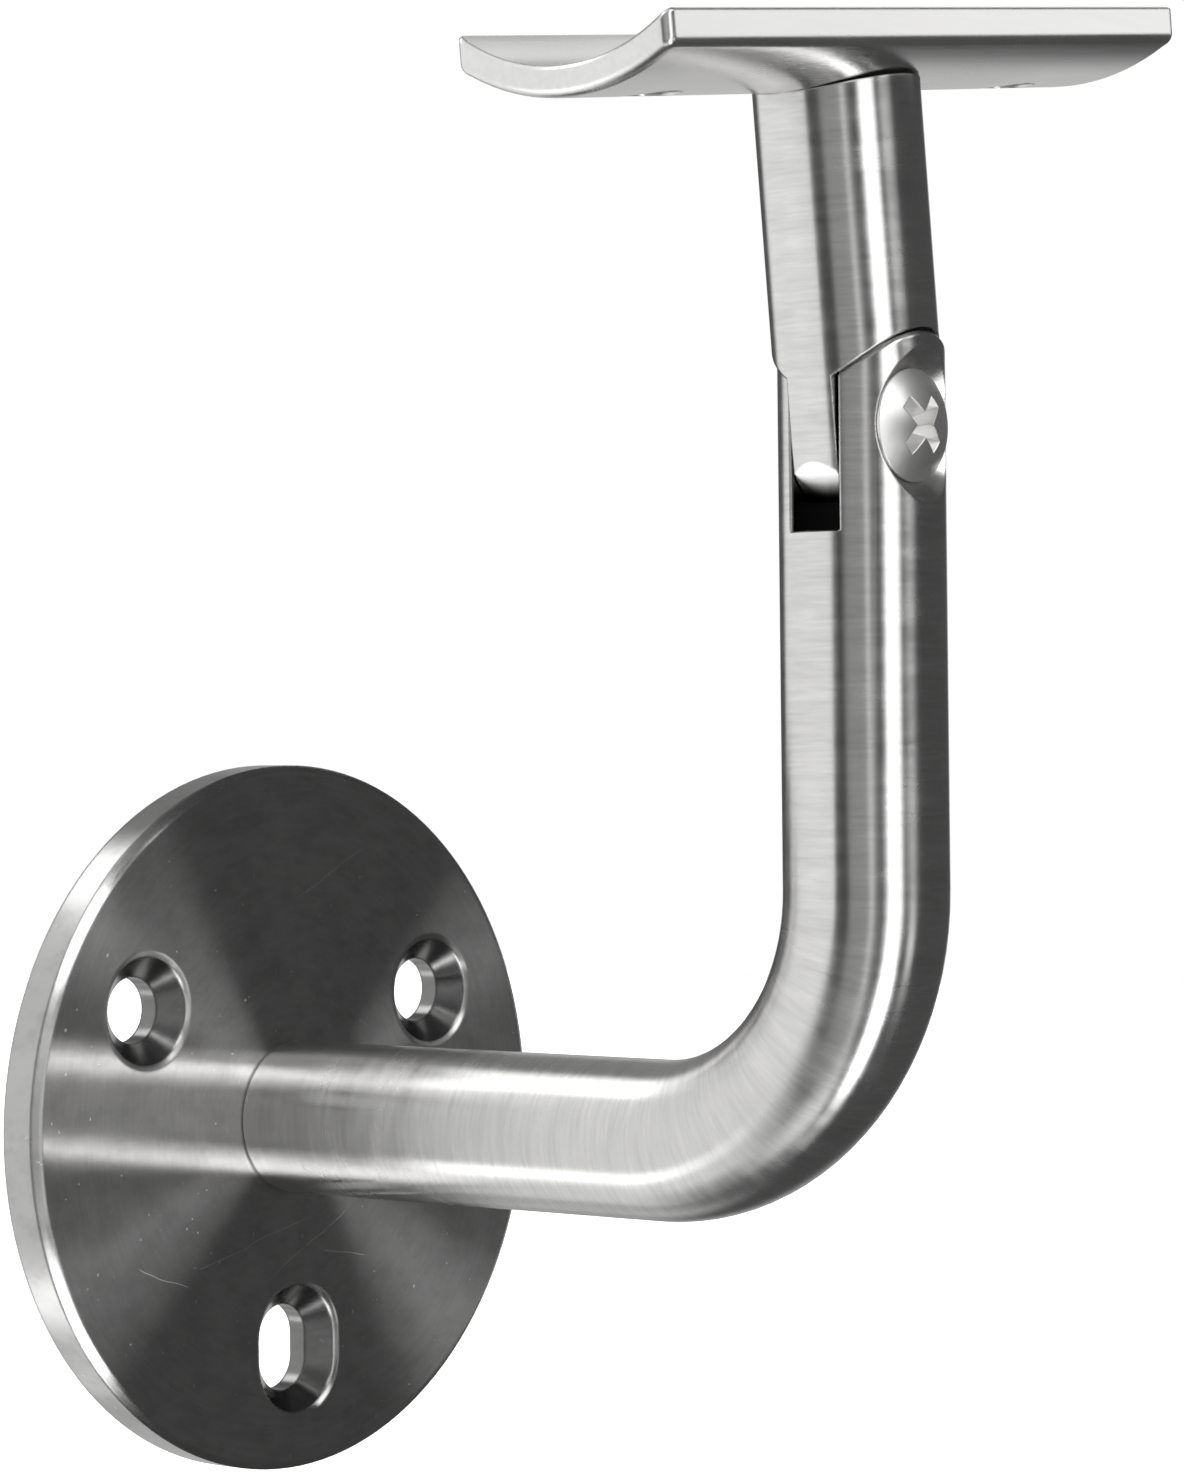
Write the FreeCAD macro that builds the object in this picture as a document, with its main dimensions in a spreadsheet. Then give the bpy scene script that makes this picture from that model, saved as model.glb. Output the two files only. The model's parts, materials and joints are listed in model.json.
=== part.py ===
"""Handrail bracket: a round wall flange, a bent round bar whose upper end is a
fork, and a short stem with a curved saddle plate that tilts in the fork on one
cross-recess screw, so the saddle can follow a sloping rail.

Frame, in millimetres: the origin is on the wall face at the flange's centre,
+X points out of the wall, +Y along the wall and +Z up.
"""
import FreeCAD, Part
import math
import os

import Sketcher

SIZES = {
    # Wall flange
    "flange_diameter": 65.0,
    "flange_thickness": 4.0,
    "rim_bevel_width": 0.9,
    "rim_bevel_depth": 0.6,
    "hole_inset": 11.0,           # rim to the centres of the three wall holes
    "upper_hole_angle": 30.0,     # degrees above the horizontal, for the two upper holes
    "wall_hole": 6.0,
    "wall_sink": 10.2,            # diameter of the 90 degree countersinks at the front face
    "sink_edge": 0.3,             # broken edge where the countersinks meet the face
    "wall_slot_length": 8.0,      # the lowest hole is a short upright slot
    # Bent bar
    "bar_diameter": 14.0,
    "spigot_diameter": 10.0,      # turned end that passes through the flange
    "spigot_play": 0.05,          # radial
    "joint_chamfer": 0.2,         # leaves a fine line where the bar meets the flange
    "post_reach": 71.0,           # wall face to the axis of the upright
    "bend_radius": 22.0,          # on the bar's centre line
    "pivot_height": 60.5,         # axis of the arm to the hinge axis
    # Fork and tongue
    "fork_slot": 4.8,
    "fork_edge": 0.3,             # broken edges of the slot and the cheeks
    "cheek_rise": 0.75,           # how much the cheeks' rounding exceeds the bar's radius
    "shoulder_gap": 0.3,          # cheek tops to the stem's hollow shoulders
    "tongue_play": 0.1,           # on each side of the tongue
    "tongue_setback": 0.4,        # tongue's rounding inside the cheeks' rounding
    "tongue_flat": 1.55,          # how much the tongue's end is cut flat
    "floor_gap": 1.35,            # tongue's rounding to the slot's floor
    # Hinge screw, raised countersunk head
    "screw_diameter": 5.0,
    "screw_play": 0.05,           # radial, and at the head's cone
    "tip_inset": 0.7,             # screw tip below the rear of the post
    "tip_chamfer": 0.5,
    "head_diameter": 9.4,
    "head_inset": 1.8,            # rim of the head's cone below the front of the post
    "head_edge": 0.25,
    "head_dome": 1.25,
    "recess_span": 6.1,
    "recess_wing": 1.5,
    "recess_depth": 2.3,
    "recess_taper": 0.4,          # size at the floor as a share of the size at the mouth
    "recess_turn": 48.0,          # degrees
    # Stem and saddle
    "saddle_tilt": 6.0,           # degrees about +X from upright, as the bracket stands
    "saddle_height": 28.0,        # hinge axis to the saddle's underside
    "cope_relief": 8.0,           # how much flatter the stem's hollow end is than the saddle
    "rail_diameter": 38.1,
    "saddle_thickness": 2.5,
    "saddle_width": 22.0,
    "saddle_length": 69.0,
    "saddle_corner": 1.0,
    "saddle_outer_edge": 1.0,     # rounding round the underside
    "saddle_inner_edge": 0.3,     # broken edge round the trough
    "rail_hole": 5.0,
    "rail_hole_spacing": 48.0,
}


class Formula:
    """A number that remembers which cells of the spreadsheet it is worked out from."""

    def __init__(self, number, text):
        self.number = number
        self.text = text

    def __neg__(self):
        return Formula(-self.number, f"-{self.text}")

    def __add__(self, other):
        other = as_formula(other)
        return Formula(self.number + other.number, f"({self.text} + {other.text})")

    def __sub__(self, other):
        other = as_formula(other)
        return Formula(self.number - other.number, f"({self.text} - {other.text})")

    def __mul__(self, other):
        other = as_formula(other)
        return Formula(self.number * other.number, f"({self.text} * {other.text})")

    def __truediv__(self, other):
        other = as_formula(other)
        return Formula(self.number / other.number, f"({self.text} / {other.text})")


def as_formula(thing):
    return thing if isinstance(thing, Formula) else Formula(thing, str(thing))


def sine(degrees):
    return Formula(math.sin(math.radians(degrees.number)), f"sin({degrees.text})")


def cosine(degrees):
    return Formula(math.cos(math.radians(degrees.number)), f"cos({degrees.text})")


def root(area):
    return Formula(math.sqrt(area.number), f"sqrt({area.text})")


class Sizes:
    """Each size by its name, as a formula that reads the size's own cell."""

    def __getattr__(self, alias):
        return Formula(SIZES[alias], f"Sizes.{alias}")


doc = FreeCAD.newDocument("HandrailBracket")
sheet = doc.addObject("Spreadsheet::Sheet", "Sizes")
for row, (alias, number) in enumerate(SIZES.items(), start=1):
    sheet.set(f"A{row}", str(number))
    sheet.setAlias(f"A{row}", alias)
doc.recompute()

S = Sizes()
ZERO = Formula(0.0, "0")

# Sizes that follow from others, because pieces have to fit or line up there
HOLE_RADIUS = S.flange_diameter / 2 - S.hole_inset
CHEEK_RADIUS = S.bar_diameter / 2 + S.cheek_rise
TONGUE_RADIUS = CHEEK_RADIUS - S.tongue_setback
TONGUE_REACH = TONGUE_RADIUS - S.tongue_flat
SLOT_DEPTH = TONGUE_RADIUS + S.floor_gap
HEAD_SEAT = S.bar_diameter / 2 - S.head_inset
SCREW_TIP = S.tip_inset - S.bar_diameter / 2
SADDLE_INSIDE = S.rail_diameter / 2
SADDLE_OUTSIDE = SADDLE_INSIDE + S.saddle_thickness
RAIL_AXIS = S.saddle_height + SADDLE_OUTSIDE

MARGIN = 1.0        # how far a cutting profile reaches past what it cuts
ON_AXIS = 1e-9      # a coordinate nearer than this lies on the sketch's axis
FREE_X, FREE_Y = 0, 1
ORIGIN_POINT = 1
H_AXIS, V_AXIS = -1, -2
START, END, CENTRE = 1, 2, 3


# ---------------------------------------------------------------- sketch helpers

def new_body(node, place=(ZERO, ZERO, ZERO), tilt=None):
    """A named body with its origin at place, turned about +X by tilt degrees."""
    body = doc.addObject("PartDesign::Body", node)
    body.Label = node
    if tilt:
        body.Placement.Rotation = FreeCAD.Rotation(FreeCAD.Vector(1, 0, 0), tilt.number)
        body.setExpression("Placement.Rotation.Angle", tilt.text + " * 1 deg")
    for letter, distance in zip("xyz", place):
        body.setExpression(f"Placement.Base.{letter}", distance.text)
    return body


def own_plane(body, role):
    return next(plane for plane in body.Origin.OriginFeatures if plane.Role == role)


def new_sketch(body, name, plane, shift=(ZERO, ZERO, ZERO), turn=None):
    """A sketch on one of the body's own planes, shifted and turned in that plane."""
    drawing = body.newObject("Sketcher::SketchObject", name)
    drawing.AttachmentSupport = [(own_plane(body, plane), "")]
    drawing.MapMode = "FlatFace"
    if turn:
        rotation = FreeCAD.Rotation(FreeCAD.Vector(0, 0, 1), turn.number)
        drawing.AttachmentOffset = FreeCAD.Placement(FreeCAD.Vector(), rotation)
        drawing.setExpression("AttachmentOffset.Rotation.Angle", turn.text + " * 1 deg")
    for letter, distance in zip("xyz", shift):
        drawing.setExpression(f"AttachmentOffset.Base.{letter}", distance.text)
    return drawing


def pin(drawing, geometry, point, x=None, y=None):
    """Hold a point of a sketch at x and y, or at only one of them."""
    for kind, other_axis, distance in (("DistanceX", V_AXIS, x), ("DistanceY", H_AXIS, y)):
        if distance is None:
            continue
        if abs(distance.number) < ON_AXIS:
            rule = Sketcher.Constraint("PointOnObject", geometry, point, other_axis)
            drawing.addConstraint(rule)
            continue
        rule = Sketcher.Constraint(kind, H_AXIS, ORIGIN_POINT, geometry, point, distance.number)
        index = drawing.addConstraint(rule)
        drawing.setExpression(f"Constraints[{index}]", distance.text)


def circle(drawing, diameter, x=ZERO, y=ZERO):
    centre = FreeCAD.Vector(x.number, y.number, 0)
    ring = Part.Circle(centre, FreeCAD.Vector(0, 0, 1), diameter.number / 2)
    index = drawing.addGeometry(ring)
    pin(drawing, index, CENTRE, x, y)
    size = drawing.addConstraint(Sketcher.Constraint("Diameter", index, diameter.number))
    drawing.setExpression(f"Constraints[{size}]", diameter.text)


def outline(drawing, corners, arcs=None, closed=True):
    """Join the corners with lines, or with an arc where arcs names the corner that
    it leaves: arcs maps that corner's number to the arc's centre x and y, whether it
    runs clockwise, and which coordinate of its far end the radius already settles."""
    arcs = arcs or {}
    count = len(corners)
    points = [FreeCAD.Vector(x.number, y.number, 0) for x, y in corners]
    held = [list(corner) for corner in corners]
    for start, (_, _, _, settled) in arcs.items():
        held[(start + 1) % count][settled] = None
    edges = []
    for start in range(count if closed else count - 1):
        first, last = points[start], points[(start + 1) % count]
        if start in arcs:
            x, y, clockwise, _ = arcs[start]
            edges.append(arc_between(drawing, first, last, x, y, clockwise))
        else:
            edges.append((drawing.addGeometry(Part.LineSegment(first, last)), START, END))
    followers = edges[1:] + edges[:1] if closed else edges[1:]
    for before, after in zip(edges, followers):
        meet = Sketcher.Constraint("Coincident", before[0], before[2], after[0], after[1])
        drawing.addConstraint(meet)
    for (geometry, begin, _), (x, y) in zip(edges, held):
        pin(drawing, geometry, begin, x, y)
    if not closed:
        geometry, _, finish = edges[-1]
        pin(drawing, geometry, finish, *held[-1])


def arc_between(drawing, first, last, x, y, clockwise):
    """Sketch arcs run anticlockwise, so a clockwise one is entered at its end."""
    centre = FreeCAD.Vector(x.number, y.number, 0)
    begin, finish = (last, first) if clockwise else (first, last)
    ring = Part.Circle(centre, FreeCAD.Vector(0, 0, 1), (first - centre).Length)
    arc = Part.ArcOfCircle(ring, ring.parameter(begin), ring.parameter(finish))
    index = drawing.addGeometry(arc)
    pin(drawing, index, CENTRE, x, y)
    return (index, END, START) if clockwise else (index, START, END)


# --------------------------------------------------------------- feature helpers

def pad(body, name, drawing, length, symmetric=False):
    feature = body.newObject("PartDesign::Pad", name)
    feature.Profile = drawing
    feature.Midplane = symmetric
    feature.setExpression("Length", length.text)
    doc.recompute()
    return feature


def cut_through(body, name, drawing, both_ways=True, forward=False):
    """Cut right through the body from the sketch, both ways or one way only."""
    feature = body.newObject("PartDesign::Pocket", name)
    feature.Profile = drawing
    feature.Type = "ThroughAll"
    feature.Midplane = both_ways
    feature.Reversed = forward
    doc.recompute()
    return feature


def spin(body, kind, name, drawing):
    """Revolve, or groove, a profile about its sketch's horizontal axis."""
    feature = body.newObject("PartDesign::" + kind, name)
    feature.Profile = drawing
    feature.ReferenceAxis = (drawing, ["H_Axis"])
    feature.Angle = 360
    doc.recompute()
    return feature


def loft_cut(body, name, first, last):
    feature = body.newObject("PartDesign::SubtractiveLoft", name)
    feature.Profile = first
    feature.Sections = [last]
    feature.Ruled = True
    doc.recompute()
    return feature


def soften(body, kind, name, base, wanted, size):
    """Fillet or chamfer the edges of a feature that are wanted."""
    edges = [f"Edge{i}" for i, edge in enumerate(base.Shape.Edges, start=1) if wanted(edge)]
    feature = body.newObject("PartDesign::" + kind, name)
    feature.Base = (base, edges)
    feature.setExpression("Size" if kind == "Chamfer" else "Radius", size.text)
    doc.recompute()
    return feature


def same(a, b):
    return abs(a - b) < ON_AXIS


def round_face_edges(feature, radius):
    """A test for the edges of the feature's cylindrical faces of this radius."""
    edges = [edge for face in feature.Shape.Faces
             if isinstance(face.Surface, Part.Cylinder) and same(face.Surface.Radius, radius.number)
             for edge in face.Edges]
    return lambda edge: any(edge.isSame(other) for other in edges)


# ---------------------------------------------------------------------- the parts

def wall_flange():
    """A turned disc with a bevelled rim, a bore for the bar's spigot, two
    countersunk holes and a countersunk upright slot."""
    body = new_body("wall_flange")
    disc = new_sketch(body, "DiscProfile", "XZ_Plane")
    rim, face = S.flange_diameter / 2, S.flange_thickness
    corners = [(ZERO, ZERO), (face, ZERO), (face, rim - S.rim_bevel_width),
               (face - S.rim_bevel_depth, rim), (ZERO, rim)]
    outline(disc, corners)
    spin(body, "Revolution", "Disc", disc)

    bore = new_sketch(body, "SpigotBoreOutline", "YZ_Plane")
    circle(bore, S.spigot_diameter + S.spigot_play * 2)
    cut_through(body, "SpigotBore", bore)

    centres = new_sketch(body, "UpperHoleCentres", "YZ_Plane", (ZERO, ZERO, S.flange_thickness))
    across = HOLE_RADIUS * cosine(S.upper_hole_angle)
    height = HOLE_RADIUS * sine(S.upper_hole_angle)
    circle(centres, S.wall_hole, across, height)
    circle(centres, S.wall_hole, -across, height)
    doc.recompute()
    holes = body.newObject("PartDesign::Hole", "UpperHoles")
    holes.Profile = centres
    holes.DepthType = "ThroughAll"
    holes.HoleCutType = "Countersink"
    holes.HoleCutCustomValues = True
    holes.HoleCutCountersinkAngle = 90
    holes.setExpression("Diameter", S.wall_hole.text)
    holes.setExpression("HoleCutDiameter", S.wall_sink.text)
    doc.recompute()

    slot = new_sketch(body, "SlotOutline", "YZ_Plane")
    upright_slot(slot, S.wall_hole)
    cut_through(body, "Slot", slot)
    mouth = new_sketch(body, "SlotSinkMouth", "YZ_Plane", (ZERO, ZERO, S.flange_thickness))
    upright_slot(mouth, S.wall_sink)
    sink_floor = S.flange_thickness - (S.wall_sink - S.wall_hole) / 2
    throat = new_sketch(body, "SlotSinkThroat", "YZ_Plane", (ZERO, ZERO, sink_floor))
    upright_slot(throat, S.wall_hole)
    sunk = loft_cut(body, "SlotSink", mouth, throat)

    def at_sink(edge):
        middle = edge.BoundBox.Center
        on_front = same(edge.BoundBox.XMin, S.flange_thickness.number)
        off_axis = math.hypot(middle.y, middle.z) > S.wall_hole.number
        return on_front and off_axis
    soften(body, "Chamfer", "SinkEdges", sunk, at_sink, S.sink_edge)
    return body


def upright_slot(drawing, width):
    """Two half circles joined by straight sides, at the foot of the hole circle."""
    middle = -HOLE_RADIUS
    reach = (S.wall_slot_length - S.wall_hole) / 2
    top, foot = middle + reach, middle - reach
    side = width / 2
    corners = [(side, foot), (side, top), (-side, top), (-side, foot)]
    outline(drawing, corners, {1: (ZERO, top, False, FREE_X), 3: (ZERO, foot, False, FREE_X)})


def support_arm():
    """A round bar, spigoted into the flange, bent upright and forked at the top."""
    body = new_body("support_arm")
    spigot = new_sketch(body, "SpigotOutline", "YZ_Plane")
    circle(spigot, S.spigot_diameter)
    pad(body, "Spigot", spigot, S.flange_thickness)

    route = new_sketch(body, "BarRoute", "XZ_Plane")
    bend_start = S.post_reach - S.bend_radius
    corners = [(S.flange_thickness, ZERO), (bend_start, ZERO), (S.post_reach, S.bend_radius),
               (S.post_reach, S.pivot_height + CHEEK_RADIUS + MARGIN)]
    outline(route, corners, {1: (bend_start, S.bend_radius, False, FREE_X)}, closed=False)
    section = new_sketch(body, "BarSection", "YZ_Plane", (ZERO, ZERO, S.flange_thickness))
    circle(section, S.bar_diameter)
    bar = body.newObject("PartDesign::AdditivePipe", "Bar")
    bar.Profile = section
    bar.Spine = route
    doc.recompute()

    def at_flange(edge):
        box = edge.BoundBox
        return same(box.XLength, 0) and same(box.YMax, S.bar_diameter.number / 2) \
            and same(box.XMax, S.flange_thickness.number)
    soften(body, "Chamfer", "JointLine", bar, at_flange, S.joint_chamfer)

    at_pivot = (S.post_reach, S.pivot_height, ZERO)
    slot = new_sketch(body, "ForkSlotOutline", "XZ_Plane", at_pivot)
    side, top = S.fork_slot / 2, CHEEK_RADIUS + 2 * MARGIN
    outline(slot, [(-side, -SLOT_DEPTH), (side, -SLOT_DEPTH), (side, top), (-side, top)])
    cut_through(body, "ForkSlot", slot)

    crown = new_sketch(body, "CheekTopOutline", "YZ_Plane", (ZERO, S.pivot_height, ZERO))
    side = CHEEK_RADIUS + MARGIN
    corners = [(CHEEK_RADIUS, ZERO), (side, ZERO), (side, top), (-side, top), (-side, ZERO),
               (-CHEEK_RADIUS, ZERO)]
    outline(crown, corners, {5: (ZERO, ZERO, True, FREE_X)})
    fork = cut_through(body, "CheekTops", crown)

    def on_fork(edge):
        return edge.BoundBox.ZMax > (S.pivot_height - SLOT_DEPTH).number + ON_AXIS
    soften(body, "Chamfer", "ForkEdges", fork, on_fork, S.fork_edge)

    hole = new_sketch(body, "ScrewHoleProfile", "XZ_Plane", at_pivot)
    inside = S.screw_diameter / 2 + S.screw_play
    lip = S.head_diameter / 2 + S.screw_play
    past = S.bar_diameter / 2 + MARGIN
    corners = [(past, ZERO), (past, lip + past - HEAD_SEAT),
               (HEAD_SEAT - lip + inside, inside), (-past, inside), (-past, ZERO)]
    outline(hole, corners)
    spin(body, "Groove", "ScrewHole", hole)
    return body


def hinge_screw():
    """A raised countersunk screw along +X with a cross recess in its dome."""
    body = new_body("hinge_screw", (S.post_reach, ZERO, S.pivot_height))
    profile = new_sketch(body, "ScrewProfile", "XZ_Plane")
    rim, shank = S.head_diameter / 2, S.screw_diameter / 2
    edge = HEAD_SEAT + S.head_edge
    crown = edge + S.head_dome
    dome_radius = (rim * rim + S.head_dome * S.head_dome) / (S.head_dome * 2)
    corners = [(SCREW_TIP, ZERO), (crown, ZERO), (edge, rim), (HEAD_SEAT, rim),
               (HEAD_SEAT - rim + shank, shank), (SCREW_TIP + S.tip_chamfer, shank),
               (SCREW_TIP, shank - S.tip_chamfer)]
    outline(profile, corners, {1: (crown - dome_radius, ZERO, False, FREE_X)})
    spin(body, "Revolution", "Screw", profile)

    mouth = new_sketch(body, "RecessMouth", "YZ_Plane", (ZERO, ZERO, crown), S.recess_turn)
    cross(mouth, S.recess_span, S.recess_wing)
    deep = (ZERO, ZERO, crown - S.recess_depth)
    floor = new_sketch(body, "RecessFloor", "YZ_Plane", deep, S.recess_turn)
    cross(floor, S.recess_span * S.recess_taper, S.recess_wing * S.recess_taper)
    loft_cut(body, "Recess", mouth, floor)
    return body


def cross(drawing, span, wing):
    """An upright cross, the outline of a cross recess."""
    far, near = span / 2, wing / 2
    quarter = [(far, near), (near, near), (near, far)]
    corners = []
    for _ in range(4):
        corners += quarter
        quarter = [(-y, x) for x, y in quarter]
    outline(drawing, corners)


def saddle_stem():
    """A round stem above the hinge axis: its foot is a tongue between hollow
    shoulders that clear the cheeks, and its top is coped to the saddle."""
    body = new_body("saddle_stem", (S.post_reach, ZERO, S.pivot_height), S.saddle_tilt)
    section = new_sketch(body, "StemSection", "XY_Plane", (ZERO, ZERO, -TONGUE_REACH))
    circle(section, S.bar_diameter)
    pad(body, "Stem", section, TONGUE_REACH + S.saddle_height + 2 * MARGIN)

    cope = new_sketch(body, "CopeOutline", "XZ_Plane")
    cope_radius = SADDLE_OUTSIDE + S.cope_relief
    circle(cope, cope_radius * 2, ZERO, S.saddle_height + cope_radius)
    cut_through(body, "Cope", cope)

    nose = new_sketch(body, "TongueEndOutline", "YZ_Plane")
    side = TONGUE_RADIUS + MARGIN
    corners = [(-TONGUE_RADIUS, ZERO), (-side, ZERO), (-side, -side), (side, -side),
               (side, ZERO), (TONGUE_RADIUS, ZERO)]
    outline(nose, corners, {5: (ZERO, ZERO, True, FREE_X)})
    cut_through(body, "TongueEnd", nose)

    tongue_face = (ZERO, ZERO, S.fork_slot / 2 - S.tongue_play)
    shoulder = new_sketch(body, "ShoulderOutline", "YZ_Plane", tongue_face)
    circle(shoulder, (CHEEK_RADIUS + S.shoulder_gap) * 2)
    front = cut_through(body, "FrontShoulder", shoulder, both_ways=False, forward=True)
    rear = body.newObject("PartDesign::Mirrored", "RearShoulder")
    rear.Originals = [front]
    rear.MirrorPlane = (own_plane(body, "YZ_Plane"), [""])
    body.Tip = rear
    doc.recompute()

    hole = new_sketch(body, "PivotHoleOutline", "YZ_Plane")
    circle(hole, S.screw_diameter + S.screw_play * 2)
    cut_through(body, "PivotHole", hole)
    return body


def saddle_plate():
    """A plate pressed to the rail's radius, cut to a rectangle, with its edges
    rounded and two holes for screws into the rail."""
    body = new_body("saddle_plate", (S.post_reach, ZERO, S.pivot_height), S.saddle_tilt)
    section = new_sketch(body, "SaddleSection", "XZ_Plane")
    side = S.saddle_width / 2
    corners = []
    for radius, x in ((SADDLE_INSIDE, side), (SADDLE_INSIDE, -side),
                      (SADDLE_OUTSIDE, -side), (SADDLE_OUTSIDE, side)):
        corners.append((x, RAIL_AXIS - root(radius * radius - side * side)))
    arcs = {0: (ZERO, RAIL_AXIS, True, FREE_Y), 2: (ZERO, RAIL_AXIS, False, FREE_Y)}
    outline(section, corners, arcs)
    plate = pad(body, "Plate", section, S.saddle_length, symmetric=True)

    def plate_corner(edge):
        return same(edge.BoundBox.XLength, 0) and same(edge.BoundBox.YLength, 0)
    plate = soften(body, "Fillet", "Corners", plate, plate_corner, S.saddle_corner)
    underside = round_face_edges(plate, SADDLE_OUTSIDE)
    plate = soften(body, "Fillet", "UndersideEdge", plate, underside, S.saddle_outer_edge)
    trough = round_face_edges(plate, SADDLE_INSIDE)
    soften(body, "Chamfer", "TroughEdge", plate, trough, S.saddle_inner_edge)

    holes = new_sketch(body, "RailHoleOutlines", "XY_Plane", (ZERO, ZERO, S.saddle_height))
    circle(holes, S.rail_hole, ZERO, S.rail_hole_spacing / 2)
    circle(holes, S.rail_hole, ZERO, -S.rail_hole_spacing / 2)
    cut_through(body, "RailHoles", holes)
    return body


# ------------------------------------------------------------- build, check, write

def problems(bodies):
    """Objects that did not recompute, and bodies that are not one valid solid."""
    doc.recompute()
    found = []
    for thing in doc.Objects:
        if {"Invalid", "Error"} & set(thing.State):
            found.append(f"{thing.Name}: {thing.State}")
    for body in bodies:
        shape = body.Shape
        if shape.isNull() or not shape.isValid() or len(shape.Solids) != 1:
            found.append(f"{body.Label}: not one valid solid")
    return found


parts = [wall_flange(), support_arm(), hinge_screw(), saddle_stem(), saddle_plate()]
failures = problems(parts)
if failures:
    raise RuntimeError("\n".join(failures))

os.makedirs("parts", exist_ok=True)
for body in parts:
    body.Shape.exportStep(f"parts/{body.Label}.step")
    box = body.Shape.BoundBox
    print(f"{body.Label:14s} {body.Shape.Volume:10.1f} mm3"
          f"  x {box.XMin:7.2f} {box.XMax:7.2f}  y {box.YMin:7.2f} {box.YMax:7.2f}"
          f"  z {box.ZMin:7.2f} {box.ZMax:7.2f}")
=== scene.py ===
import json
import math

import bpy
from mathutils import Matrix, Vector


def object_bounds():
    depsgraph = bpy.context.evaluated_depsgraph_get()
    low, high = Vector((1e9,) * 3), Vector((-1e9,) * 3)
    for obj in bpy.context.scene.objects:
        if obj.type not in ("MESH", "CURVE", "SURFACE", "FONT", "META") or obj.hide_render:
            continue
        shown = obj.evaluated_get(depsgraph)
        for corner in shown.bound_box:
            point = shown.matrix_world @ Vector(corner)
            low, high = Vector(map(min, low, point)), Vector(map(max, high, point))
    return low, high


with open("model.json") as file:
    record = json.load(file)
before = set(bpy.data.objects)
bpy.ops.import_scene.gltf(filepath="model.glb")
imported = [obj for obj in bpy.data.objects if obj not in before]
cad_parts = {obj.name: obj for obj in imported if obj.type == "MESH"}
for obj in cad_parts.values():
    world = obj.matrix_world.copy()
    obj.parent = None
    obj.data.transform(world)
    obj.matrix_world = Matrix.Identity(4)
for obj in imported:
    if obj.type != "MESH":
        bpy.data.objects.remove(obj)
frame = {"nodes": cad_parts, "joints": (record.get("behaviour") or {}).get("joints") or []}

cad_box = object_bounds()
nodes = frame["nodes"]

# The hinge axis, and the centre of the arm's bend in the XZ plane
PIVOT = Vector(frame["joints"][0]["pos_m"])
BEND_RADIUS = 0.022
BEND_X, BEND_Z = PIVOT.x - BEND_RADIUS, BEND_RADIUS
SADDLE_TILT = math.radians(6)
FLANGE_THICKNESS = 0.004
HOLES_REACH = 0.031            # nothing but the rim lies outside this radius
FORK_HALF_SLOT = 0.0024
FORK_FLOOR = 0.0518

# The camera looks at the bracket from this side; lights are placed by their azimuth
# to the right of the line from the bracket to the camera, and height above the horizon
VIEW_AZIMUTH = math.radians(49.274)
VIEW_HEIGHT = math.radians(0.115)
VIEW_ROLL = math.radians(-0.63)
TO_CAMERA = Vector((math.cos(VIEW_AZIMUTH), -math.sin(VIEW_AZIMUTH), 0))
TO_RIGHT = Vector((math.sin(VIEW_AZIMUTH), math.cos(VIEW_AZIMUTH), 0))
UP = Vector((0, 0, 1))
CAMERA_PLACE = (0.31612, -0.31729, 0.03674)
CAMERA_LENS = 145.93
CAMERA_SHIFT = (-0.0153, -0.0113)

# The finish on the flange's face is two layers; the rim and the holes have a third
GLOW_SHARE = 0.38
# Colour scales: the holes' colour is cut to 0.36 as painted shade; the rim's colour is scaled to 0.82
HOLE_PAINTED_SHADE, RIM_TONE = 0.36, 0.82

# The stem's rounded foot starts this far below the hinge axis; it is darkened with painted shade, down
# in the fork's slot
FOOT_BELOW_PIVOT = 0.0045

# The lamp for the saddle's long edge
SADDLE_LAMP_SIZE = (0.20, 0.07)
SADDLE_LAMP_ENERGY = 0.052
SADDLE_LAMP_DISTANCE = 0.24


# ------------------------------------------------------------------ node helpers

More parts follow.
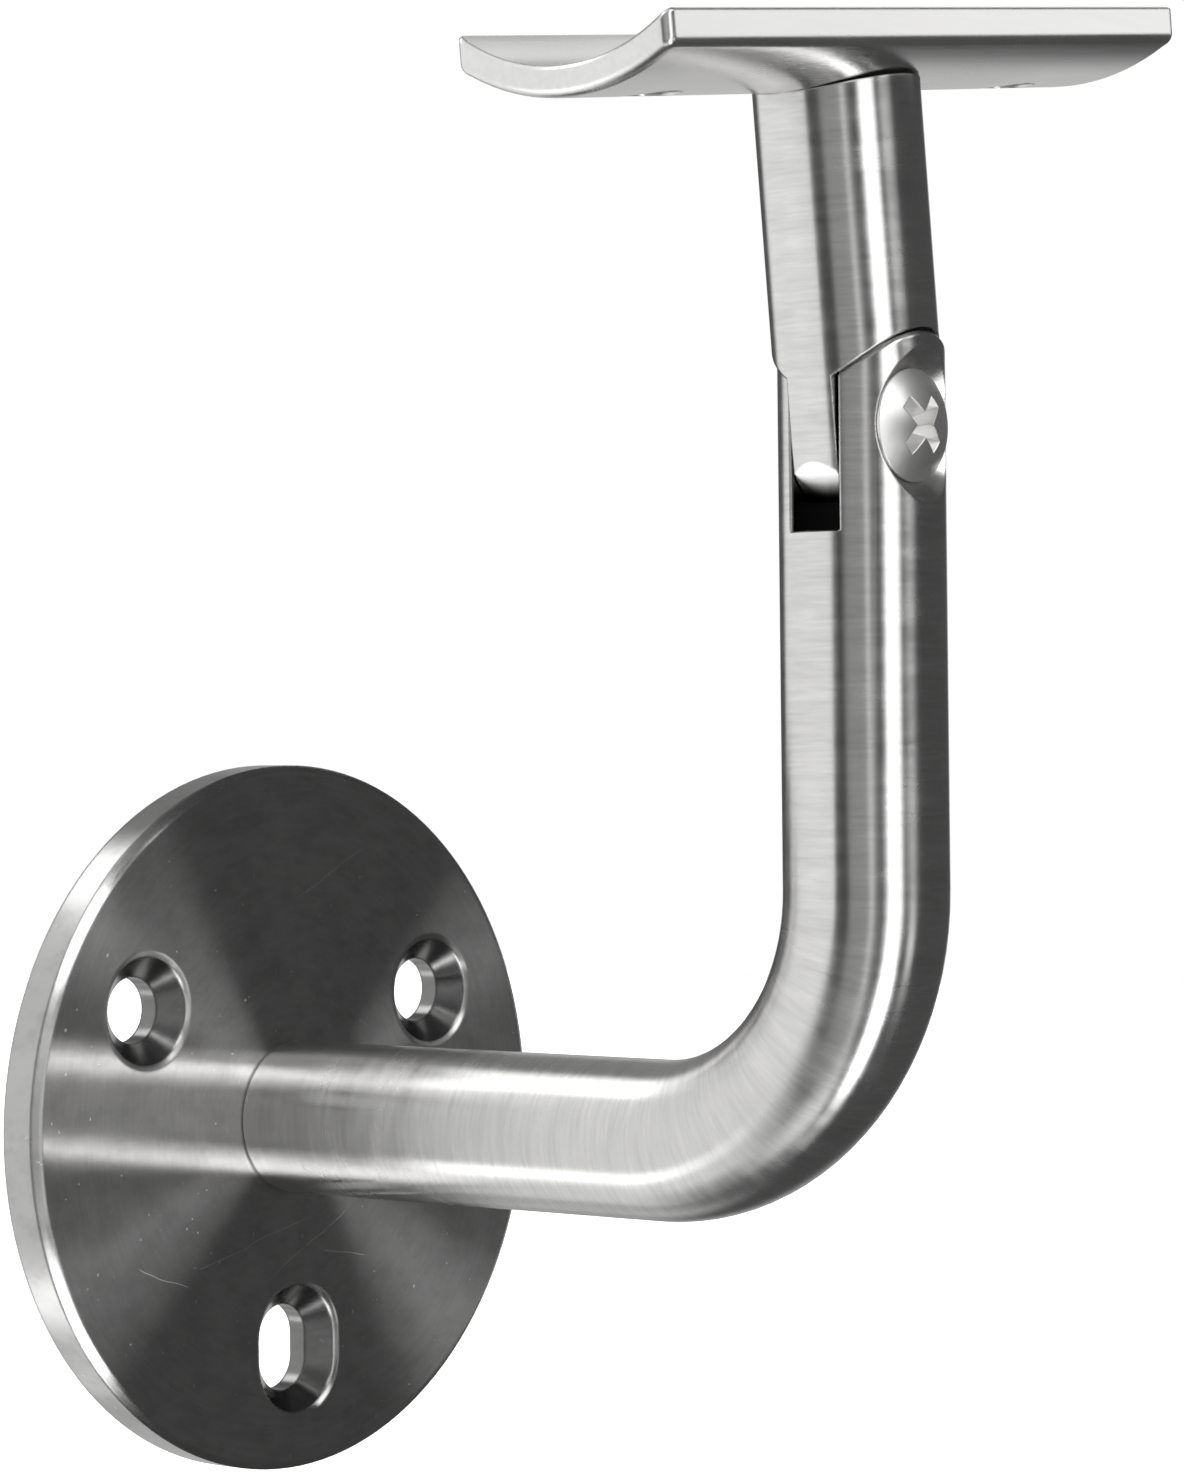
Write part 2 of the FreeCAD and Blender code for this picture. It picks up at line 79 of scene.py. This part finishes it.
class Tree:
    """A node tree built up by small steps; a number may stand for a socket."""

    def __init__(self, node_tree):
        self.tree = node_tree

    def add(self, kind, *inputs, **settings):
        node = self.tree.nodes.new(kind)
        for key, value in settings.items():
            setattr(node, key, value)
        for socket, source in zip(node.inputs, inputs):
            self.feed(socket, source)
        return node

    def feed(self, socket, source):
        if source is None:
            return
        if isinstance(source, bpy.types.Node):
            source = source.outputs[0]
        if isinstance(source, bpy.types.NodeSocket):
            self.tree.links.new(source, socket)
        else:
            socket.default_value = source

    def math(self, operation, *inputs):
        return self.add("ShaderNodeMath", *inputs, operation=operation)

    def total(self, *terms):
        result = terms[0]
        for term in terms[1:]:
            result = self.math("ADD", result, term)
        return result

    def scaled(self, value, factor, middle=0.0):
        """(value - middle) * factor"""
        return self.math("MULTIPLY", self.math("SUBTRACT", value, middle), factor)

    def vector(self, operation, *inputs):
        return self.add("ShaderNodeVectorMath", *inputs, operation=operation)

    def dot(self, a, b):
        return self.vector("DOT_PRODUCT", a, b).outputs["Value"]

    def triple(self, x, y, z):
        return self.add("ShaderNodeCombineXYZ", x, y, z)

    def split(self, vector):
        return self.add("ShaderNodeSeparateXYZ", vector).outputs

    def step(self, value, start, end, low=0.0, high=1.0):
        """A smooth change from low to high as value goes from start to end."""
        return self.add("ShaderNodeMapRange", value, start, end, low, high,
                        interpolation_type="SMOOTHSTEP")

    def band(self, value, low, high, soft_low, soft_high=None):
        """1 between low and high, falling to 0 over the soft widths."""
        soft_high = soft_low if soft_high is None else soft_high
        rise = self.step(value, low - soft_low, low + soft_low)
        fall = self.step(value, high - soft_high, high + soft_high, 1.0, 0.0)
        return self.math("MULTIPLY", rise, fall)

    def noise(self, vector, per_metre, detail=2.0, roughness=0.5):
        """Noise with its own number of waves per metre along each axis."""
        stretched = self.vector("MULTIPLY", vector, per_metre)
        node = self.add("ShaderNodeTexNoise", stretched)
        node.inputs["Scale"].default_value = 1.0
        node.inputs["Detail"].default_value = detail
        node.inputs["Roughness"].default_value = roughness
        return node.outputs[0]

    def place(self):
        """The point in the row frame, as the piece was built."""
        return self.add("ShaderNodeTexCoord").outputs["Object"]

    def to_world(self, vector):
        return self.add("ShaderNodeVectorTransform", vector, vector_type="VECTOR",
                        convert_from="OBJECT", convert_to="WORLD")


class Steel:
    """A steel finish whose colour, roughness and relief come from socket values."""

    def __init__(self, name, anisotropy=0.0):
        self.material = bpy.data.materials.new(name)
        self.material.use_nodes = True
        self.tree = Tree(self.material.node_tree)
        self.bsdf = self.material.node_tree.nodes["Principled BSDF"]
        self.bsdf.inputs["Metallic"].default_value = 1.0
        self.bsdf.inputs["Anisotropic"].default_value = anisotropy

    def grain_runs(self, across_grain):
        """Highlights stretch along this direction, which is given in the row frame."""
        self.tree.feed(self.bsdf.inputs["Tangent"], self.tree.to_world(across_grain))

    def finish(self, brightness, roughness, relief, depth, edge_radius):
        tree = self.tree
        warmth = tree.triple(brightness, tree.scaled(brightness, 0.995), tree.scaled(brightness, 0.985))
        tree.feed(self.bsdf.inputs["Base Color"], warmth)
        tree.feed(self.bsdf.inputs["Roughness"], roughness)
        rounded = tree.add("ShaderNodeBevel", edge_radius, samples=6)
        bump = tree.add("ShaderNodeBump")
        bump.inputs["Strength"].default_value = 1.0
        bump.inputs["Distance"].default_value = depth
        tree.feed(bump.inputs["Height"], relief)
        tree.feed(bump.inputs["Normal"], rounded)
        tree.feed(self.bsdf.inputs["Normal"], bump)
        return warmth, bump

    def put_on(self, node):
        mesh = nodes[node].data
        mesh.materials.clear()
        mesh.materials.append(self.material)


def brushed_round(steel, path, dullness_and_painted_shade, level=0.64, rough=0.25):
    """A bar brushed round and round: short marks across the path's first coordinate.
    Painted shade darkens the colour where the shade mask is 1."""
    tree = steel.tree
    marks = tree.noise(path, (2600, 210, 210), 3.0, 0.6)
    patches = tree.noise(path, (520, 130, 130), 2.0, 0.6)
    clouds = tree.noise(path, (60, 90, 90), 1.0)
    brightness = tree.total(level, tree.scaled(marks, 0.20, 0.5), tree.scaled(patches, 0.24, 0.5))
    # Painted shade: the colour falls to 12 % where the shade mask is 1
    kept = tree.step(dullness_and_painted_shade, 0.0, 1.0, 1.0, 0.12)
    brightness = tree.math("MULTIPLY", brightness, kept)
    roughness = tree.total(rough, tree.scaled(patches, 0.14, 0.5), tree.scaled(clouds, 0.08, 0.5))
    relief = tree.total(marks, tree.scaled(patches, 1.5))
    steel.finish(brightness, roughness, relief, 0.0000014, 0.00025)


# --------------------------------------------------------------- the five finishes

def arm_finish():
    """Brushed round the bar, along its whole bent route."""
    steel = Steel("arm_brushed_steel", anisotropy=0.88)
    tree = steel.tree
    x, y, z = tree.split(tree.place())
    beyond = tree.math("MAXIMUM", tree.math("SUBTRACT", x, BEND_X), 0.0)
    below = tree.math("MAXIMUM", tree.math("SUBTRACT", BEND_Z, z), 0.0)
    steel.grain_runs(tree.triple(below, 0.0, beyond))
    before = tree.math("MINIMUM", tree.math("SUBTRACT", x, BEND_X), 0.0)
    after = tree.math("MAXIMUM", tree.math("SUBTRACT", z, BEND_Z), 0.0)
    turned = tree.math("ARCTAN2", beyond, below)
    along = tree.total(before, tree.scaled(turned, BEND_RADIUS), after)
    from_centre = tree.vector("LENGTH", tree.triple(beyond, 0.0, below)).outputs["Value"]
    # The fork's slot gets painted shade: its colour is darkened
    aside = tree.math("ABSOLUTE", tree.math("SUBTRACT", x, PIVOT.x))
    in_slot = tree.math("MULTIPLY", tree.math("LESS_THAN", aside, FORK_HALF_SLOT + 0.00008),
                        tree.math("GREATER_THAN", z, FORK_FLOOR - 0.0001))
    brushed_round(steel, tree.triple(along, y, from_centre), in_slot)
    steel.put_on("support_arm")


def stem_finish():
    """Brushed round the stem, which leans with the saddle."""
    steel = Steel("stem_brushed_steel", anisotropy=0.88)
    tree = steel.tree
    axis = Vector((0, -math.sin(SADDLE_TILT), math.cos(SADDLE_TILT)))
    steel.grain_runs(tuple(axis))
    across = Vector((0, math.cos(SADDLE_TILT), math.sin(SADDLE_TILT)))
    place = tree.place()
    along = tree.dot(place, axis)
    path = tree.triple(along, tree.dot(place, across), tree.split(place)[0])
    foot = axis.dot(PIVOT) - FOOT_BELOW_PIVOT
    # Painted shade on the stem's foot, down in the fork's slot
    brushed_round(steel, path, tree.step(along, foot - 0.0010, foot + 0.0002, 0.9, 0.0), level=0.66)
    steel.put_on("saddle_stem")


def flange_finish():
    """Turned on a lathe and polished: fine rings, small pits and a few scratches."""
    steel = Steel("flange_turned_steel", anisotropy=0.80)
    tree = steel.tree
    x, y, z = tree.split(tree.place())
    outward = tree.triple(0.0, y, z)
    steel.grain_runs(outward)
    radius = tree.vector("LENGTH", tree.triple(0.0, y, z)).outputs["Value"]
    round_y, round_z = tree.math("DIVIDE", y, radius), tree.math("DIVIDE", z, radius)
    ring_place = tree.triple(radius, tree.scaled(round_y, 0.01), tree.scaled(round_z, 0.01))
    rings = tree.noise(ring_place, (2400, 700, 700), 2.0, 0.5)
    smears = tree.noise(ring_place, (90, 260, 260), 2.0, 0.5)
    patch = tree.step(tree.noise(tree.place(), (260, 260, 420), 3.0, 0.6), 0.38, 0.68)
    specks = tree.step(tree.noise(tree.place(), (1300, 1300, 1300), 1.0), 0.70, 0.76)
    pits = tree.math("MULTIPLY", specks, patch)
    scratch = scratches(tree, y, z)
    brightness = tree.total(0.54, tree.scaled(rings, 0.12, 0.5), tree.scaled(smears, 0.10, 0.5),
                            tree.scaled(pits, 0.15), tree.scaled(patch, -0.07),
                            tree.scaled(scratch, 0.2))
    roughness = tree.total(0.14, tree.scaled(smears, 0.06, 0.5), tree.scaled(pits, 0.25),
                           tree.scaled(scratch, 0.25))
    relief = tree.scaled(rings, 0.35)
    colour, normal = steel.finish(brightness, roughness, relief, 0.0000020, 0.0004)

    glow = tree.add("ShaderNodeBsdfAnisotropic", colour, 0.33, -0.76)
    tree.feed(glow.inputs["Normal"], normal)
    tree.feed(glow.inputs["Tangent"], tree.to_world(outward))
    # Painted shade in the holes: their colour is cut; the rim's colour is scaled down
    hole_shade_and_rim_tone = tree.step(radius, HOLES_REACH - 0.0003, HOLES_REACH + 0.0003,
                       HOLE_PAINTED_SHADE, RIM_TONE)
    cut = tree.vector("SCALE", colour)
    tree.feed(cut.inputs["Scale"], hole_shade_and_rim_tone)
    edges = tree.add("ShaderNodeBsdfPrincipled", cut, 1.0, 0.20)
    tree.feed(edges.inputs["Normal"], normal)
    face = tree.add("ShaderNodeMixShader", GLOW_SHARE, steel.bsdf, glow)
    on_face = tree.step(x, FLANGE_THICKNESS - 0.0003, FLANGE_THICKNESS - 0.0001)
    whole = tree.add("ShaderNodeMixShader", on_face, edges, face)
    output = steel.material.node_tree.nodes["Material Output"]
    tree.feed(output.inputs["Surface"], whole)
    steel.put_on("wall_flange")


# Scratches on the flange, in millimetres: from y, z to y, z
SCRATCHES = [
    ((1.0, 20.5), (9.5, 24.5)),
    ((-12.5, -13.0), (1.5, -9.5)),
    ((3.5, -12.5), (9.0, -13.5)),
    ((-3.0, -14.5), (6.5, -9.0)),
    ((-20.0, -12.0), (-14.0, -14.5)),
    ((14.0, 8.5), (17.5, 14.0)),
]
SCRATCH_WIDTH = 0.00009


def scratches(tree, y, z):
    """1 on the scratches and 0 off them; each is a thin wandering line."""
    wander = tree.noise(tree.place(), (120, 120, 120), 2.0)
    result = None
    for (y0, z0), (y1, z1) in SCRATCHES:
        start, end = Vector((y0, z0)) / 1000, Vector((y1, z1)) / 1000
        along = (end - start).normalized()
        off_y, off_z = tree.math("SUBTRACT", y, start.x), tree.math("SUBTRACT", z, start.y)
        reach = tree.total(tree.scaled(off_y, along.x), tree.scaled(off_z, along.y))
        aside = tree.total(tree.scaled(off_y, -along.y), tree.scaled(off_z, along.x),
                           tree.scaled(wander, 0.0016, 0.5))
        line = tree.step(tree.math("ABSOLUTE", aside), 0.0, SCRATCH_WIDTH, 1.0, 0.0)
        length = (end - start).length
        line = tree.math("MULTIPLY", line, tree.band(reach, 0.0, length, length * 0.15))
        result = line if result is None else tree.math("MAXIMUM", result, line)
    return result


def screw_finish():
    """Cold formed and tumbled: smooth, with small dull marks."""
    steel = Steel("screw_bright_steel")
    tree = steel.tree
    place = tree.place()
    marks = tree.noise(place, (900, 900, 900), 3.0, 0.6)
    dullness_and_painted_shade = tree.noise(place, (260, 260, 260), 2.0)
    brightness = tree.total(0.92, tree.scaled(marks, 0.14, 0.5))
    roughness = tree.total(0.40, tree.scaled(dullness_and_painted_shade, 0.18, 0.5))
    steel.finish(brightness, roughness, marks, 0.000006, 0.00015)
    steel.put_on("hinge_screw")


def saddle_finish():
    """Pressed from polished plate, with a faint grain along its length."""
    steel = Steel("saddle_polished_steel")
    tree = steel.tree
    place = tree.place()
    grain = tree.noise(place, (1800, 90, 1800), 3.0, 0.6)
    clouds = tree.noise(place, (120, 60, 120), 2.0)
    brightness = tree.total(0.72, tree.scaled(grain, 0.12, 0.5), tree.scaled(clouds, 0.10, 0.5))
    roughness = tree.total(0.25, tree.scaled(grain, 0.08, 0.5), tree.scaled(clouds, 0.12, 0.5))
    steel.finish(brightness, roughness, tree.total(grain, clouds), 0.000002, 0.0003)
    steel.put_on("saddle_plate")


# ------------------------------------------------------------- floor and lighting

def lay_floor():
    """A pale floor far below the bracket, as bright as the backdrop, so that the
    underside can be looked at too."""
    reach, z = 12.0, cad_box[0].z - 0.8
    corners = [(-reach, -reach, z), (reach, -reach, z), (reach, reach, z), (-reach, reach, z)]
    mesh = bpy.data.meshes.new("floor")
    mesh.from_pydata(corners, [], [(0, 1, 2, 3)])
    paint = bpy.data.materials.new("floor_paint")
    paint.use_nodes = True
    bsdf = paint.node_tree.nodes["Principled BSDF"]
    bsdf.inputs["Base Color"].default_value = (0.9, 0.9, 0.9, 1)
    bsdf.inputs["Roughness"].default_value = 0.9
    bsdf.inputs["Emission Color"].default_value = (1, 1, 1, 1)
    bsdf.inputs["Emission Strength"].default_value = 0.9
    mesh.materials.append(paint)
    plane = bpy.data.objects.new("floor", mesh)
    bpy.context.scene.collection.objects.link(plane)
    plane.visible_glossy = False


# The studio's soft boxes and cards: azimuth from, to; height from, to; softness of the
# left and right edges and of the top and bottom edges, all in degrees; brightness
CARDS = [
    ((-142, -47), (-62, 78), (8, 1.5), 8, 0.95),       # large white panel on the left
    ((-140, -100), (42, 50), (8, 8), 3, 2.8),          # lamp high on the left
    ((-112, -82), (-44, -34), (8, 8), 3, 1.8),         # lamp low on the left
    ((-175, -138), (-60, -12), (8, 8), 8, 0.58),       # lit wall low on the left
    ((-190, -146), (12, 55), (5, 5), 8, 0.22),         # wall behind on the left
    ((-27, 12), (-40, 70), (4, 5), 10, 0.28),          # the room behind the camera
    ((1, 7), (-60, 70), (2, 2), 10, 0.50),             # bright gap beside the camera
    ((26, 48), (24, 56), (2, 2), 4, 6.0),              # upper key light
    ((26, 48), (-58, -26), (2, 2), 4, 5.5),            # lower key light
    ((26, 48), (-21, 19), (3, 3), 6, 1.8),             # the stand between them
    ((56, 74), (15, 36), (3, 3), 4, 3.2),              # lamp on the right
    ((60, 70), (-19, -13), (3, 3), 2, 3.6),            # a smaller lamp below it
    ((-45, 12), (-74, -54), (10, 10), 6, 1.3),         # lit table edge below
    ((163, 190), (-30, 17), (6, 5), 8, 0.55),          # wall behind on the right
    ((-190, -174), (-30, 17), (5, 5), 8, 0.40),        # the same, past straight behind
    ((158, 190), (24, 44), (5, 5), 5, 0.9),            # window high behind
]
DARK_ROOM = 0.085
CEILING = 0.25


def light_studio():
    world = bpy.data.worlds.new("studio")
    bpy.context.scene.world = world
    world.use_nodes = True
    tree = Tree(world.node_tree)
    direction = tree.add("ShaderNodeTexCoord").outputs["Generated"]
    degrees = 180 / math.pi
    to_camera, to_right = tree.dot(direction, TO_CAMERA), tree.dot(direction, TO_RIGHT)
    azimuth = tree.scaled(tree.math("ARCTAN2", to_right, to_camera), degrees)
    height = tree.scaled(tree.math("ARCSINE", tree.dot(direction, UP)), degrees)
    light = tree.total(DARK_ROOM, tree.step(height, 58, 78, 0.0, CEILING))
    for (left, right), (low, high), (soft_left, soft_right), soft, brightness in CARDS:
        across = tree.band(azimuth, left, right, soft_left, soft_right)
        card = tree.math("MULTIPLY", across, tree.band(height, low, high, soft))
        light = tree.total(light, tree.scaled(card, brightness))
    seen = tree.add("ShaderNodeLightPath").outputs["Is Camera Ray"]
    background = world.node_tree.nodes["Background"]
    background.inputs["Color"].default_value = (1, 1, 1, 1)
    tree.feed(background.inputs["Strength"], tree.add("ShaderNodeMix", seen, None, light, 1.0))


def saddle_card():
    """A lit card to the right, which the saddle's long edge faces. It lights the
    saddle plate only."""
    lamp = bpy.data.lights.new("saddle_card", "AREA")
    lamp.shape = "RECTANGLE"
    lamp.size, lamp.size_y = SADDLE_LAMP_SIZE
    lamp.energy = SADDLE_LAMP_ENERGY
    card = bpy.data.objects.new("saddle_card", lamp)
    bpy.context.scene.collection.objects.link(card)
    aim = Vector((0.652, 0.758, 0.17)).normalized()
    at = Vector((PIVOT.x, 0.0, 0.090)) + aim * SADDLE_LAMP_DISTANCE
    card.matrix_world = Matrix.Translation(at) @ aim.to_track_quat("Z", "Y").to_matrix().to_4x4()
    card.visible_camera = False
    lit = bpy.data.collections.new("lit_by_saddle_card")
    lit.objects.link(nodes["saddle_plate"])
    card.light_linking.receiver_collection = lit


# ------------------------------------------------------------------------- camera

def aim_camera():
    away = -(math.cos(VIEW_HEIGHT) * TO_CAMERA + math.sin(VIEW_HEIGHT) * UP)
    right = away.cross(UP).normalized()
    up = right.cross(away)
    turned_right = math.cos(VIEW_ROLL) * right + math.sin(VIEW_ROLL) * up
    turned_up = math.cos(VIEW_ROLL) * up - math.sin(VIEW_ROLL) * right
    camera = bpy.data.cameras.new("camera")
    camera.sensor_fit = "HORIZONTAL"
    camera.sensor_width = 36.0
    camera.lens = CAMERA_LENS
    camera.shift_x, camera.shift_y = CAMERA_SHIFT
    camera.clip_start = 0.01
    viewer = bpy.data.objects.new("camera", camera)
    bpy.context.scene.collection.objects.link(viewer)
    turn = Matrix((turned_right, turned_up, -away)).transposed().to_4x4()
    viewer.matrix_world = Matrix.Translation(CAMERA_PLACE) @ turn
    bpy.context.scene.camera = viewer


arm_finish()
stem_finish()
flange_finish()
screw_finish()
saddle_finish()
lay_floor()
light_studio()
saddle_card()
aim_camera()
bpy.context.scene.view_settings.view_transform = "Standard"
